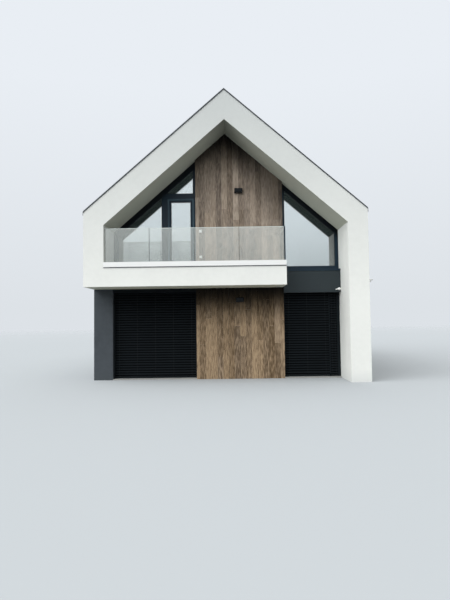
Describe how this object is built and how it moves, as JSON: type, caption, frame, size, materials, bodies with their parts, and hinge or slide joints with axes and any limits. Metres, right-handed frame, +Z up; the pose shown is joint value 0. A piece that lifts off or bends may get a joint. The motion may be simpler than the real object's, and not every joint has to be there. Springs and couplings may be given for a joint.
{
  "type": "detached house",
  "caption": "Two-storey gabled house in a folded white portal, with a glass-fronted balcony, raked dark windows, timber panels and lowered blinds.",
  "frame": {"origin": "on the ground, under the middle of the house's plan, in the plane of the ridge", "axes": "+X to the right as seen from the balcony front, +Y from the balcony front to the back, +Z up"},
  "size_m": [8.236, 12.03, 8.3853],
  "materials": {
    "white_render": "fine silicone render, matt",
    "grey_render": "fine grey render, matt",
    "soffit_render": "smooth render on the underside",
    "concrete": "cast and trowelled",
    "paving": "pavers on pedestals",
    "roof_metal": "coil coated sheet, satin",
    "coping_metal": "white powder coat, satin",
    "spandrel_metal": "powder coat, satin",
    "dark_frames": "powder coat, satin",
    "blind_metal": "stove enamelled slats",
    "timber": "stained boards, matt",
    "window_glass": "clear insulating glazing",
    "balustrade_glass": "clear laminated glass",
    "lamp_metal": "powder coat, satin",
    "white_plastic": "moulded, matt"
  },
  "bodies": {
    "root": {"ground_slab": "concrete", "upper_floor": "concrete", "left_ground_wall": "grey_render", "right_ground_wall": "white_render", "back_ground_wall": "grey_render", "left_upper_wall": "white_render", "right_upper_wall": "white_render", "back_gable_wall": "white_render", "left_upright": "white_render", "right_leg": "white_render", "gable_left": "white_render", "gable_right": "white_render", "roof_left": "white_render", "roof_right": "white_render", "roof_sheets": "roof_metal", "ridge_cap": "roof_metal", "verge_flashings": "roof_metal", "eave_flashings": "roof_metal", "balcony_slab": "soffit_render", "balcony_parapet": "white_render", "balcony_paving": "paving", "parapet_flashing": "roof_metal", "balcony_coping": "coping_metal", "balustrade_glass": "balustrade_glass", "balustrade_corner": "dark_frames", "lower_pier": "white_render", "upper_pier": "white_render", "lower_cladding": "timber", "upper_cladding": "timber", "left_window_frame": "dark_frames", "balcony_door": "dark_frames", "right_window_frame": "dark_frames", "upper_glass": "window_glass", "spandrel_box": "spandrel_metal", "spandrel_cap": "roof_metal", "blind_heads": "blind_metal", "blind_rails": "blind_metal", "left_blind": "blind_metal", "right_blind": "blind_metal", "ground_frames": "dark_frames", "back_upper_frames": "dark_frames", "ground_glass": "window_glass", "wall_lamps": "lamp_metal", "wall_plates": "white_plastic", "security_cameras": "white_plastic"}
  },
  "joints": []
}
